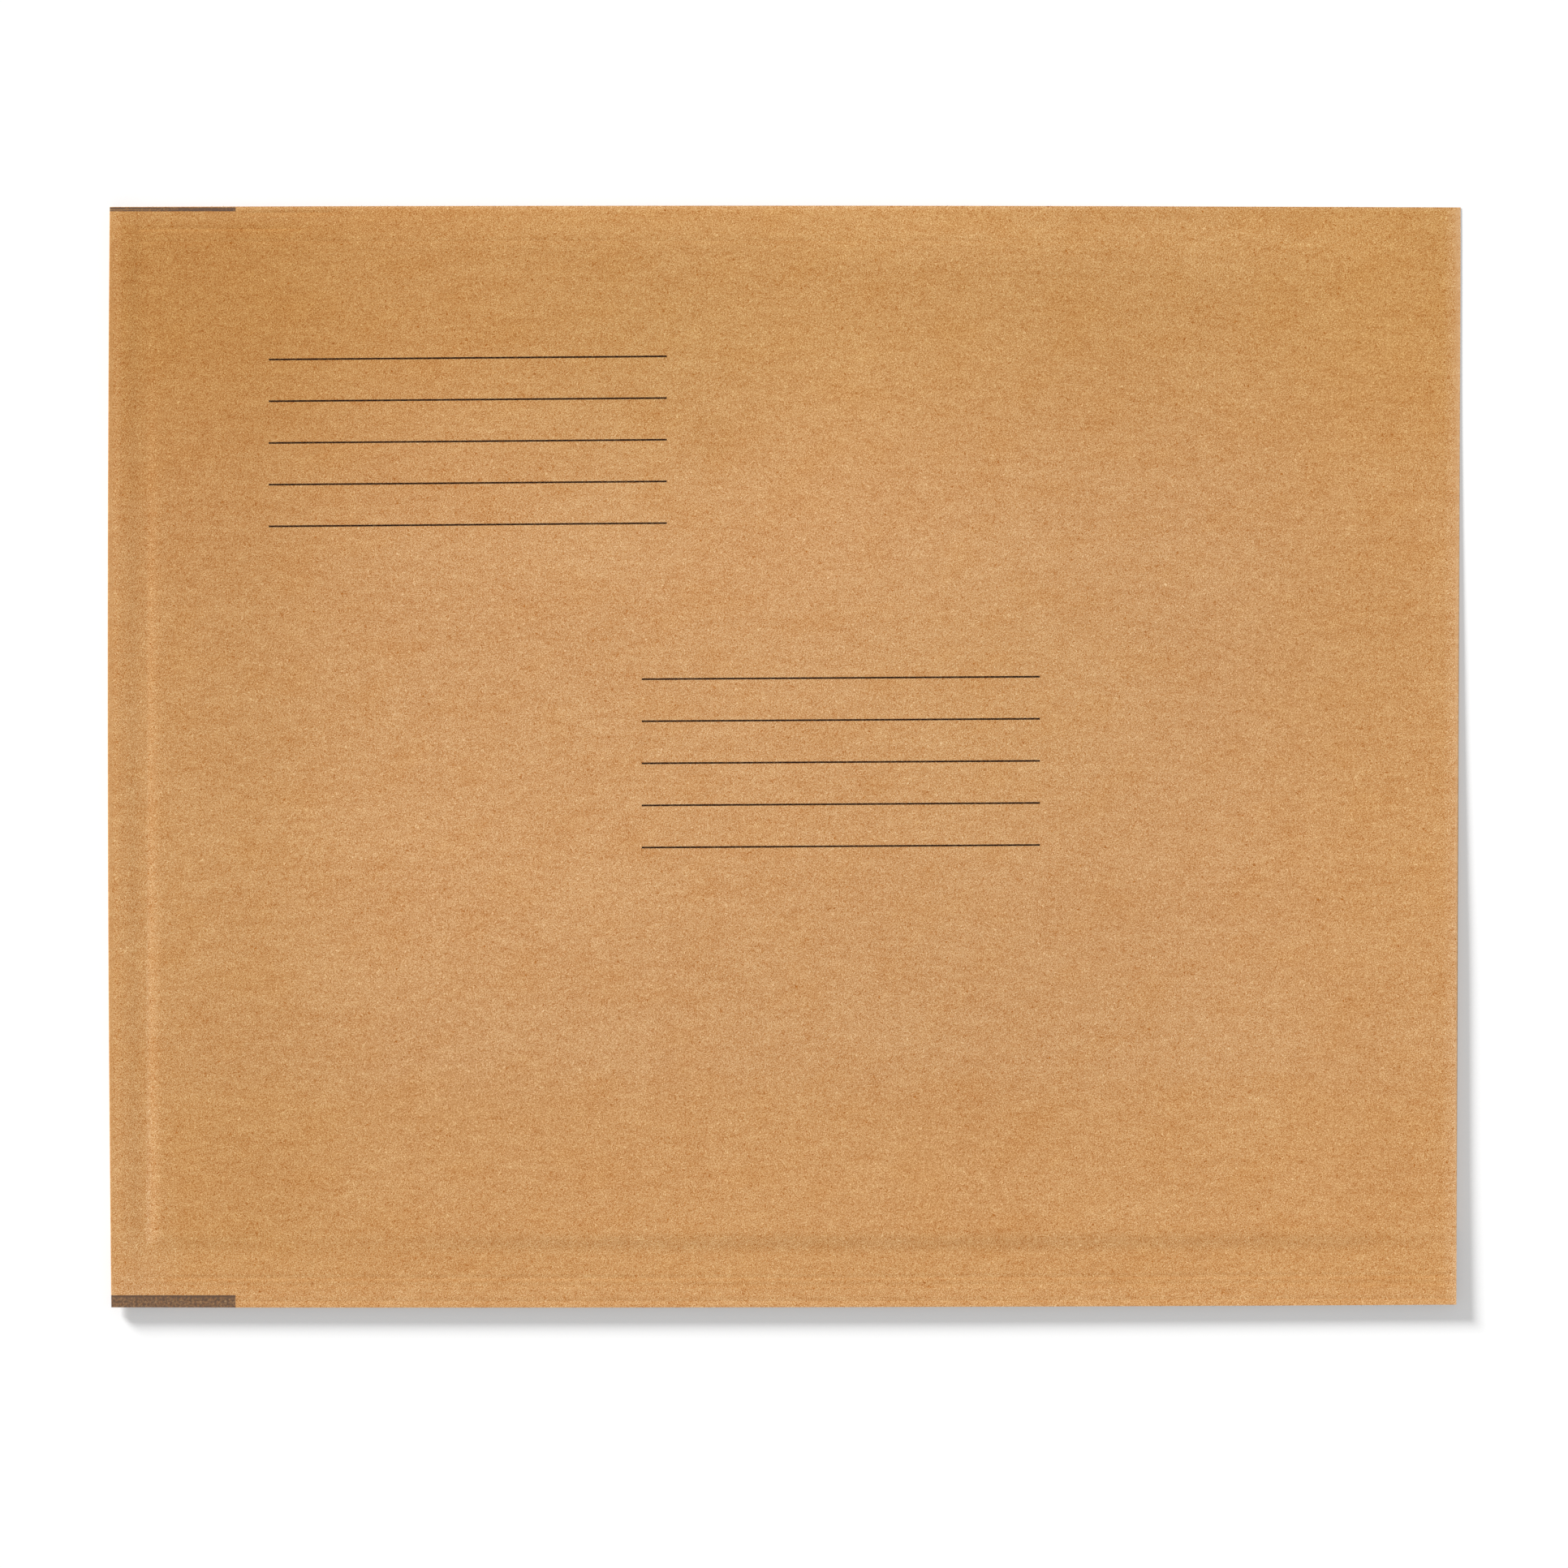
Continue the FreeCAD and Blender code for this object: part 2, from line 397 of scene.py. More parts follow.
@dataclass(frozen=True)
class LayerMaker:
    """Makes the closed mesh of one layer between two nested surfaces of the bag."""

    sizes: MailerSizes
    fine: float = 0.42 * MM
    coarse: float = 2.9 * MM
    arc_points: int = 24
    crease: float = 0.13

    def fold(self, turn: np.ndarray) -> tuple[np.ndarray, np.ndarray]:
        """How far out and how high a fold of radius 1 is: squarer than a half circle."""
        sine, cosine = np.clip(np.sin(turn), 0, 1), np.cos(turn)
        return sine ** self.crease, np.sign(cosine) * np.abs(cosine) ** self.crease

    def face_places(self) -> np.ndarray:
        """Places from the mouth's lip to the foot fold, closest over the padded step.

        Returns:
            The places along the bag.
        """
        s = self.sizes
        step_end = s.step_x + 2 * s.mouth_step
        return np.concatenate([graded(s.lip_x, step_end, self.fine),
                               graded(step_end, s.foot_x, self.coarse)])

    def across_places(self) -> np.ndarray:
        """Places from one cut edge to the other, closest together in the seams.

        Returns:
            The places across the bag.
        """
        s = self.sizes
        band = s.half_width - s.seam - 1.6 * s.seam_step
        left = graded(-s.half_width, -band, self.fine)
        return np.concatenate([left, graded(-band, band, self.coarse), [band], -left[::-1]])

    def body_loop(self, half: float, pressed: float, inset: float | None = None) -> Loop:
        """A surface of the bag: over the face, round the foot and along the back.

        Args:
            half: Its distance from the middle level where the bag is full.
            pressed: The same in a pressed seam.
            inset: For a back that rises over the flap, how far inside the paper's
                outer face it lies.

        Returns:
            The surface's run.
        """
        s = self.sizes
        places = self.face_places()
        out, height = self.fold(np.linspace(0, math.pi, self.arc_points))
        run_x = np.concatenate([places, s.foot_x + half * out, places[::-1]])
        drop = np.concatenate([np.ones(len(places)), height, -np.ones(len(places))])
        full = s.middle + half * drop
        if inset is not None:
            full[-len(places):] = inset + self.lift_over_flap(places[::-1])
        level = s.middle + np.clip(half * drop, -pressed, pressed)
        return Loop(run_x, full, level, np.where(drop >= 0, Side.FACE.value, Side.BACK.value))

    def lift_over_flap(self, x: np.ndarray) -> np.ndarray:
        """How far the back's underside is off the table.

        Args:
            x: Places along the bag.

        Returns:
            The underside's level at each place.
        """
        s = self.sizes
        clear = s.flap + s.flap_clear - s.half_length
        share = np.clip((x - clear) / s.flap_ramp, 0, 1)
        return s.over_flap * (1 - share * share * (3 - 2 * share))

    def flap_loop(self, inset: float) -> Loop:
        """A surface of the turned-under flap, from its free edge round to the mouth.

        Args:
            inset: How far the surface lies inside the paper's outer face.

        Returns:
            The surface's run.
        """
        s = self.sizes
        radius = s.seam_top / 2
        centre_x = radius - s.half_length
        flat = graded(s.flap - s.half_length, centre_x, self.coarse)
        out, height = self.fold(graded(math.pi, 0.0, math.pi / self.arc_points))
        margin = graded(centre_x, s.lip_x, self.fine)
        x = np.concatenate([flat, centre_x - (radius - inset) * out, margin])
        z = np.concatenate([np.full(len(flat), inset), radius + (radius - inset) * height,
                            np.full(len(margin), s.seam_top - inset)])
        return Loop(x, z, z.copy(), np.full(len(x), Side.FLAP.value))

    def mesh(self, name: str, outer: Loop, inner: Loop) -> Object:
        """A closed mesh between two surfaces with the same number of points.

        Args:
            name: The object's name.
            outer: The surface nearer the outside of the bag.
            inner: The surface nearer the pocket.

        Returns:
            The object, with what the relief reads as attributes of its points.
        """
        across, loop = self.across_places(), Loop.joined(outer, inner.turned())
        rows, count, ring = len(across), len(outer.x), len(loop.x)
        points = np.empty((rows, ring, 3))
        points[..., 0], points[..., 1], points[..., 2] = loop.x, across[:, None], loop.full
        row, col = np.meshgrid(np.arange(rows - 1), np.arange(ring), indexing="ij")
        after = (col + 1) % ring
        skin = np.stack([row * ring + col, row * ring + after,
                         (row + 1) * ring + after, (row + 1) * ring + col], axis=-1)
        rung = np.arange(count - 1)
        cap = np.stack([rung, ring - 1 - rung, ring - 2 - rung, rung + 1], axis=-1)
        far_cap = cap[:, ::-1] + (rows - 1) * ring
        faces = np.concatenate([skin.reshape(-1, 4), cap, far_cap])
        mesh = bpy.data.meshes.new(name)
        mesh.from_pydata(points.reshape(-1, 3).tolist(), [], faces.tolist())
        for label, field in (("full_level", loop.full), ("pressed_level", loop.pressed),
                             ("bag_side", loop.side), ("outside", np.repeat([1.0, 0.0], count))):
            data = mesh.attributes.new(label, "FLOAT", "POINT")
            data.data.foreach_set("value", np.tile(field, rows).astype(np.float32))
        mesh.validate()
        return placed(name, mesh)


# ---- the relief


@dataclass(frozen=True)
class Bow:
    """How one edge of the bag bows: a parabola over its run from -1 to 1."""

    centre: float
    depth: float
    shift: float

    def over(self, run: Value) -> Value:
        """The edge's shift along its run."""
        return (run - self.centre) * (run - self.centre) * self.depth + self.shift


@dataclass(frozen=True)
class Groove:
    """A shallow line that the press leaves along a seam, within some ramps."""

    place: float
    depth: float
    reach: tuple[Run, ...] = ()
    half: float = 0.7 * MM

    def cut(self, edge: Value, at: Spot) -> Value:
        """The line's depth at a place that lies so far in from the cut edge."""
        return at.within(self.reach, abs(edge - self.place).ramp(self.half, 0.0) * self.depth)


@dataclass(frozen=True)
class Relief:
    """The soft shape that the flat-drawn layers take.

    Each point slides between its level in a pressed seam and its level where the
    bag is full. The quick part of the rise is the pad's edge, seen through the
    paper, and the slow part is the crown of the bag.
    """

    sizes: MailerSizes
    crown_run: float = 85.0 * MM
    mouth_run: float = 116.0 * MM
    edge_share: float = 0.18
    edge_run: float = 5.6 * MM
    edge_early: float = 2.5 * MM
    edge_fade: Run = Run(Measure.X, 134, 108, least=0.3)
    edge_sharp: float = 6.0
    ridge_share: float = 0.1
    ridge_late: float = 0.5 * MM
    ridge_run: float = 4.8 * MM
    ridge_fall: float = 34.0 * MM
    ridge_reach: tuple[Run, Run] = (
        Run(Measure.Y, 98, 26, Ease.SMOOTH, 0.1), Run(Measure.FAR, 8, 16))
    billow: Span = mm(95, 0.1)
    cockle: Span = mm(17, 0.03)
    seed: float = 3.7
    near_curl: Span = mm(3.4, 0.03)
    far_curl: Span = mm(1.2, 0.06)
    near_grooves: tuple[Groove, ...] = (
        Groove(*mm(1.3, 0.035)), Groove(*mm(4.4, 0.021)), Groove(*mm(6.0, 0.035)))
    far_grooves: tuple[Groove, ...] = (
        Groove(*mm(1.3, 0.063), (Run(Measure.X, -112, -106), Run(Measure.X, -88, -94))),
        Groove(*mm(4.5, 0.0455), (Run(Measure.X, -94, -102),)), Groove(*mm(7.1, 0.021)))
    roll: float = 0.095 * MM
    roll_reach: tuple[Run, Run] = (
        Run(Measure.FROM_MOUTH, 0, 2.8), Run(Measure.FROM_MOUTH, 7.2, 3))
    roll_levels: Span = mm(0.1, 0.4)
    taper_run: float = 145.0 * MM
    taper_far: float = 0.92
    taper_less: float = 0.9
    droop: float = 0.11
    droop_run: float = 9.0 * MM
    lift_share: float = 0.5
    lift_reach: tuple[Run, Run] = (Run(Measure.NEAR, 20, 0), Run(Measure.FROM_MOUTH, 20, 0))
    bow_start: float = 0.55
    mouth_bow: Bow = Bow(0.15, *mm(0.56, -0.03))
    far_bow: Bow = Bow(0.0, *mm(-0.26, 0.25))
    near_bow: Bow = Bow(-0.55, *mm(0.25, -0.19))
    foot_flare: float = 0.2 * MM
    flare_start: float = 0.4

    def settle(self, layer: Object, material: Material) -> Object:
        """Gives a flat-drawn layer its relief and its finish.

        Args:
            layer: The layer, with its levels and sides as attributes.
            material: The layer's material.

        Returns:
            The same object.
        """
        s = self.sizes
        tree = ShapeTree("bag_relief", {
            "Half Width": s.half_width, "Half Length": s.half_length, "Middle": s.middle})
        place = tree.add("ShaderNodeSeparateXYZ", inputs={
            0: tree.add("GeometryNodeInputPosition").outputs[0]})
        x, y, _ = (Value(tree, output) for output in place.outputs)
        at = Spot(x, y, tree.size("Half Length"), tree.size("Half Width"))
        full, pressed, side = (tree.attribute(name)
                               for name in ("full_level", "pressed_level", "bag_side"))
        on_face, on_back = side > 0.5, side < -0.5
        rise = on_face * self.face_rise(at) + on_back * self.back_rise(at)
        level = pressed + (full - pressed) * rise
        level = level + on_face * rise * self.waves(tree)
        level = level + self.curl(at) - self.grooves(at) * on_face
        upper = (pressed - tree.size("Middle")).ramp(*self.roll_levels)
        level = level + upper.larger(on_face) * self.swell(at)
        level = level * self.foot_squash(at)
        level = level * (1.0 - at.far.ramp(self.droop_run, 0.0, Ease.LINEAR) ** 2.0 * self.droop)
        level = level + self.corner_lift(level, at)
        moved = tree.add("GeometryNodeSetPosition", inputs={
            "Geometry": tree.given.outputs["Geometry"],
            "Position": tree.add("ShaderNodeCombineXYZ", inputs={
                0: x + self.bow_x(at), 1: y + self.bow_y(at), 2: level}).outputs[0]})
        return tree.shape(layer, moved.outputs[0], material)

    def face_rise(self, at: Spot) -> Value:
        """How full the face is, from 0 in the seams and the margin to 1.

        Args:
            at: The point's place.

        Returns:
            The share of full height.
        """
        s = self.sizes
        start = s.seam - self.edge_early
        quick = at.near.ramp(start, start + self.edge_run) * self.edge_share
        quick = at.within([self.edge_fade], quick)
        slow = at.near.ramp(start, start + self.crown_run) * (1.0 - self.edge_share)
        crown = (quick + slow) * at.far.ramp(s.seam, s.seam + self.crown_run)
        crown = crown * at.x.ramp(s.step_x, s.step_x + self.mouth_run)
        return crown + self.mouth_ridge(at) * self.ridge_share

    def mouth_ridge(self, at: Spot) -> Value:
        """The pad's edge at the mouth: it rises at once and sinks back into the face.

        Args:
            at: The point's place.

        Returns:
            The ridge's height, about 1 along most of the mouth.
        """
        from_start = at.x - (self.sizes.step_x + self.ridge_late)
        risen = from_start.ramp(0.0, self.ridge_run, Ease.LINEAR)
        rise = 1.0 - (1.0 - risen) ** self.edge_sharp * (1.0 + self.edge_sharp * risen)
        sunk = from_start.ramp(self.ridge_run + self.ridge_fall, self.ridge_run)
        start = self.sizes.seam - self.edge_early
        return at.within(self.ridge_reach, rise * sunk * at.near.ramp(start, start + self.edge_run))

    def back_rise(self, at: Spot) -> Value:
        """How far the back is down to its full depth, from 0 in the seams and at the mouth."""
        s = self.sizes
        return reduce(mul, [run.ramp(start, start + rise) for run, start, rise in (
            (at.x, s.step_x, s.mouth_step), (at.near, s.seam, s.seam_step),
            (at.far, s.seam, s.seam_step))])

    def waves(self, tree: Nodes) -> Value:
        """The face's soft billows and finer cockles, in metres."""
        return reduce(add, [
            (tree.value("ShaderNodeTexNoise", {"noise_dimensions": "4D"}, {
                "W": self.seed, "Scale": 1 / length, "Detail": 1.0}) - 0.5) * (2 * height)
            for length, height in (self.billow, self.cockle)])

    def curl(self, at: Spot) -> Value:
        """The cut edges' curl: up along the near seam and down along the far one."""
        up, down = (edge.ramp(wide, 0.0, Ease.LINEAR) ** 2.0 * high for edge, (wide, high) in (
            (at.near, self.near_curl), (at.far, self.far_curl)))
        return up - down

    def grooves(self, at: Spot) -> Value:
        """The depth of the lines that the press leaves along both seams."""
        seams = ((at.near, self.near_grooves), (at.far, self.far_grooves))
        return reduce(add, [groove.cut(edge, at) for edge, lines in seams for groove in lines])

    def swell(self, at: Spot) -> Value:
        """The low roll that the flap's fold leaves in the face beside it."""
        return at.within(self.roll_reach, self.roll)

    def foot_squash(self, at: Spot) -> Value:
        """How the bag thins towards its foot, most of all at the far corner."""
        from_far = (1.0 - at.tall) * 0.5
        return 1.0 - at.from_foot.ramp(self.taper_run, 0.0) * (
            self.taper_far - from_far * from_far * self.taper_less)

    def corner_lift(self, level: Value, at: Spot) -> Value:
        """How the pressed corner stands off the table, and thins towards its top."""
        corner = at.within(self.lift_reach)
        return (self.sizes.seam_top - level) * (corner * 2.0).smaller(1.0) * self.lift_share

    def bow_x(self, at: Spot) -> Value:
        """How far the mouth and the foot stand off a true rectangle, along X."""
        foot = at.tall.ramp(self.flare_start, 1.0) * self.foot_flare - at.foot_draw()
        return (at.long.ramp(-self.bow_start, -1.0) * self.mouth_bow.over(at.tall)
                + at.long.ramp(self.bow_start, 1.0) * foot)

    def bow_y(self, at: Spot) -> Value:
        """How far the two cut edges stand off a true rectangle, along Y."""
        return (at.tall.ramp(self.bow_start, 1.0) * self.far_bow.over(at.long)
                + at.tall.ramp(-self.bow_start, -1.0) * self.near_bow.over(at.long))


# ---- the finishes


@dataclass(frozen=True)
class Mark:
    """One sort of random mark: its size in millimetres, direction, detail and weight."""

    length: float
    width: float
    angle: float = 0.0
    detail: float = 0.0
    shift: float = 0.0
    weight: float = 1.0
    bent: bool = False


@dataclass(frozen=True)
class Texture:
    """Marks drawn together, and how much they bring to the tone, relief and roughness."""

    marks: tuple[Mark, ...]
    tone: float
    height: float = 1.0
    gloss: float = 0.0


@dataclass(frozen=True, kw_only=True)
class Finish:
    """A surface's plain looks, how deep its relief is, and the textures that vary them."""

    name: str
    colour: Colour
    spread: Colour
    roughness: float
    specular: float
    depth: float
    bend: Span = mm(1.0, 0.5)
    textures: tuple[Texture, ...] = ()
    specks: tuple[float, float, float] | None = None
    speck_tone: float = 0.0

    def material(self) -> Material:
        """Builds the material.

        Returns:
            The material.
        """
        p = Painter(self)
        drawn = [(p.grain(*texture.marks), texture) for texture in self.textures]
        tone, height, gloss = (
            [value * share for value, texture in drawn if (share := getattr(texture, part))]
            for part in ("tone", "height", "gloss"))
        if self.specks is not None:
            tone.append(p.flecks(*self.specks) * -self.speck_tone)
        return p.finish(p.toned(self.colour, self.spread, reduce(add, tone)),
                        reduce(add, height), reduce(add, gloss, self.roughness) if gloss else None)


class Painter(Nodes):
    """Builds one surface's shader: patterns in, a finished material out."""

    strand_width = 0.1
    fleck_core = 0.6
    tone_reach = 4.0

    def __init__(self, look: Finish, flat: bool = False) -> None:
        """Starts a material with one Principled shader.

        Args:
            look: The finish, for its name and its plain looks.
            flat: Whether its patterns lie in the plane of the bag.
        """
        self.look = look
        self.material = bpy.data.materials.new(look.name)
        self.material.use_nodes = True
        super().__init__(self.material.node_tree)
        self.tree.nodes.clear()
        self.shader = self.add("ShaderNodeBsdfPrincipled", inputs={
            "Roughness": look.roughness, "Specular IOR Level": look.specular})
        self.add("ShaderNodeOutputMaterial", inputs={"Surface": self.shader.outputs[0]})
        self.place = self.add("ShaderNodeTexCoord").outputs["Object"]
        spot = self.add("ShaderNodeSeparateXYZ", inputs={0: self.place})
        self.x, self.y, self.z = (Value(self, output) for output in spot.outputs)
        if flat:
            self.place = self.unrolled()
        self.depths = "2D" if flat else "3D"

    def vector(self, operation: str, *terms: object) -> NodeSocket:
        """The result of one Vector Math node, which takes the terms in order."""
        return self.add("ShaderNodeVectorMath", {"operation": operation},
                        dict(enumerate(terms))).outputs[0]

    def unrolled(self) -> NodeSocket:
        """The place on the sheet, carried on round its folds and over its cut edges."""
        down = self.add("ShaderNodeCombineXYZ", inputs={0: self.z, 1: self.z})
        return self.vector("SUBTRACT", self.place, down.outputs[0])

    @cached_property
    def warped(self) -> NodeSocket:
        """The place moved about a little, so that the marks drawn on it curl.

        Returns:
            The moved place.
        """
        size, reach = self.look.bend
        noise = self.add("ShaderNodeTexNoise", {"noise_dimensions": self.depths}, {
            "Vector": self.place, "Scale": 1 / size, "Detail": 0.0})
        centred = self.vector("SUBTRACT", noise.outputs["Color"], (0.5, 0.5, 0.5))
        scaled = self.add("ShaderNodeVectorMath", {"operation": "SCALE"}, {
            0: centred, "Scale": reach})
        return self.vector("ADD", self.place, scaled.outputs[0])

    def attribute(self, name: str) -> Value:
        """A float attribute that the layer's points carry."""
        return self.value("ShaderNodeAttribute", {"attribute_name": name}, output="Fac")

    def noise(self, mark: Mark) -> Value:
        """One sort of mark, as a number about 0 and mostly within 0.5 of it."""
        turned = self.add("ShaderNodeMapping", {"vector_type": "TEXTURE"}, {
            "Vector": self.warped if mark.bent else self.place,
            "Location": (mark.shift, mark.shift / 3, 0.0),
            "Rotation": (0.0, 0.0, math.radians(mark.angle)),
            "Scale": mm(mark.length, mark.width, mark.width)})
        return self.value("ShaderNodeTexNoise", {"noise_dimensions": self.depths}, {
            "Vector": turned.outputs[0], "Scale": 1.0, "Detail": mark.detail,
            "Roughness": 0.6}) - 0.5

    def grain(self, *marks: Mark) -> Value:
        """Some sorts of mark, added up by their weights."""
        return reduce(add, [self.noise(mark) * mark.weight for mark in marks])

    def strands(self, *marks: Mark) -> Value:
        """Thin curled lines, where some sorts of mark pass through 0, by their weights."""
        return reduce(add, [
            abs(self.noise(mark)).ramp(self.strand_width, 0.0, Ease.SMOOTH) * mark.weight
            for mark in marks])

    def flecks(self, spacing: float, size: float, share: float) -> Value:
        """Small scattered spots.

        Args:
            spacing: The cells that hold one spot each, in metres.
            size: A spot's radius.
            share: The share of cells that show theirs.

        Returns:
            1 in a spot and 0 outside.
        """
        cells = self.add("ShaderNodeTexVoronoi", {
            "feature": "F1", "voronoi_dimensions": self.depths}, {
            "Vector": self.place, "Scale": 1 / spacing})
        pick = self.value("ShaderNodeSeparateColor", inputs={0: cells.outputs["Color"]})
        near = Value(self, cells.outputs["Distance"])
        edge = size / spacing
        return near.ramp(edge, self.fleck_core * edge) * (pick < share)

    def mix(self, factor: object, first: object, second: object,
            blend: str = "MIX") -> NodeSocket:
        """A colour between two by a factor, or the first stained by the second."""
        ends = [(*end, 1.0) if isinstance(end, tuple) else end for end in (first, second)]
        return self.add("ShaderNodeMix", {"data_type": "RGBA", "blend_type": blend}, {
            0: factor, 6: ends[0], 7: ends[1]}).outputs[2]

    def toned(self, colour: Colour, spread: Colour, tone: Value) -> NodeSocket:
        """A colour made lighter and darker by a tone.

        Args:
            colour: The colour at tone 0.
            spread: How much one unit of tone changes each channel, as a share.
            tone: The tone, held within the reach either way.

        Returns:
            The colour's socket.
        """
        ends = [tuple(c * max(0.0, 1 + reach * s) for c, s in zip(colour, spread))
                for reach in (-self.tone_reach, self.tone_reach)]
        return self.mix(tone.ramp(-self.tone_reach, self.tone_reach, Ease.LINEAR), *ends)

    def finish(self, colour: NodeSocket, height: Value, gloss: Value | None = None) -> Material:
        """Feeds the shader.

        Args:
            colour: The surface's colour.
            height: Its relief, as numbers of about 1.
            gloss: The roughness where it varies.

        Returns:
            The material.
        """
        self.feed(self.shader.inputs["Base Color"], colour)
        if gloss is not None:
            self.feed(self.shader.inputs["Roughness"], gloss)
        bump = self.add("ShaderNodeBump", inputs={
            "Strength": 1.0, "Distance": self.look.depth, "Height": height})
        self.feed(self.shader.inputs["Normal"], bump.outputs[0])
        return self.material


@dataclass(frozen=True)
class RuledBlock:
    """A block of printed address lines."""

    left: float
    first: float
    slope: float
    pitch: float
    length: float = 80.35 * MM
    count: int = 5
    weight: float = 0.37 * MM
    blur: float = 0.02 * MM

    def mask(self, p: Painter) -> Value:
        """Where the ink is.

        Args:
            p: The material's painter.

        Returns:
            1 on a line and 0 off it.
        """
        along = p.x - self.left
        down = self.first - p.y + along * self.slope
        rows = down.wrapped(self.pitch / 2, -self.pitch / 2)
        line, inside = (abs(off).ramp(half + self.blur, half - self.blur) for off, half in (
            (rows, self.weight / 2), (along - self.length / 2, self.length / 2)))
        middle = (self.count - 1) * self.pitch / 2
        return line * inside * (abs(down - middle) < middle + self.pitch / 2)


@dataclass(frozen=True)
class CornerMarks:
    """The two printed register marks, one at the mouth's end of each seam."""

    length: float = 25.8 * MM
    near_runs: tuple[Run, ...] = (Run(Measure.NEAR, 2.35, 2.28, Ease.LINEAR),)
    near_share: float = 0.86
    rim: float = 2.1 * MM
    rim_run: Span = mm(0.25, 0.1)
    rim_share: float = 0.25
    far_runs: tuple[Run, ...] = (
        Run(Measure.FAR, 0.95, 0.87, Ease.LINEAR), Run(Measure.FAR, 0, 0.2))
    streak: float = 0.6 * MM
    streak_run: Span = mm(0.16, 0.05)
    streak_reach: Run = Run(Measure.FROM_MOUTH, 20, 4)
    streak_share: float = 0.4
    wear: Mark = Mark(0.5, 0.5, detail=1.0, shift=47.0, weight=0.9)

    def mask(self, p: Painter, at: Spot) -> Value:
        """Where the ink is, and how strong.

        Args:
            p: The material's painter.
            at: The place on the bag.

        Returns:
            About 1 on a mark and 0 off it.
        """
        rim = abs(at.near - self.rim).ramp(*self.rim_run) * self.rim_share
        streak = at.within([self.streak_reach], abs(at.far - self.streak).ramp(*self.streak_run))
        printed = (at.within(self.near_runs, self.near_share + rim)
                   + at.within(self.far_runs, 1.0 - streak * self.streak_share))
        return printed * (at.from_mouth < self.length) * (1.0 + p.grain(self.wear))


@dataclass(frozen=True)
class ToneShift:
    """A soft shift of the sheet's tone: its tint, and the ramps that keep it in its place."""

    tint: Colour
    runs: tuple[Run, ...]


@dataclass(frozen=True)
class Cloud:
    """A broad round patch of another tone: its middle, where it has faded out, its tint and its
    even part.
    """

    x: float
    y: float
    reach: float
    tint: Colour
    even: float = 0.0

    def strength(self, at: Spot) -> Value:
        """1 in the cloud's even part and 0 from its reach on."""
        return at.away(self.x, self.y).ramp(self.reach, self.even, Ease.SMOOTH)


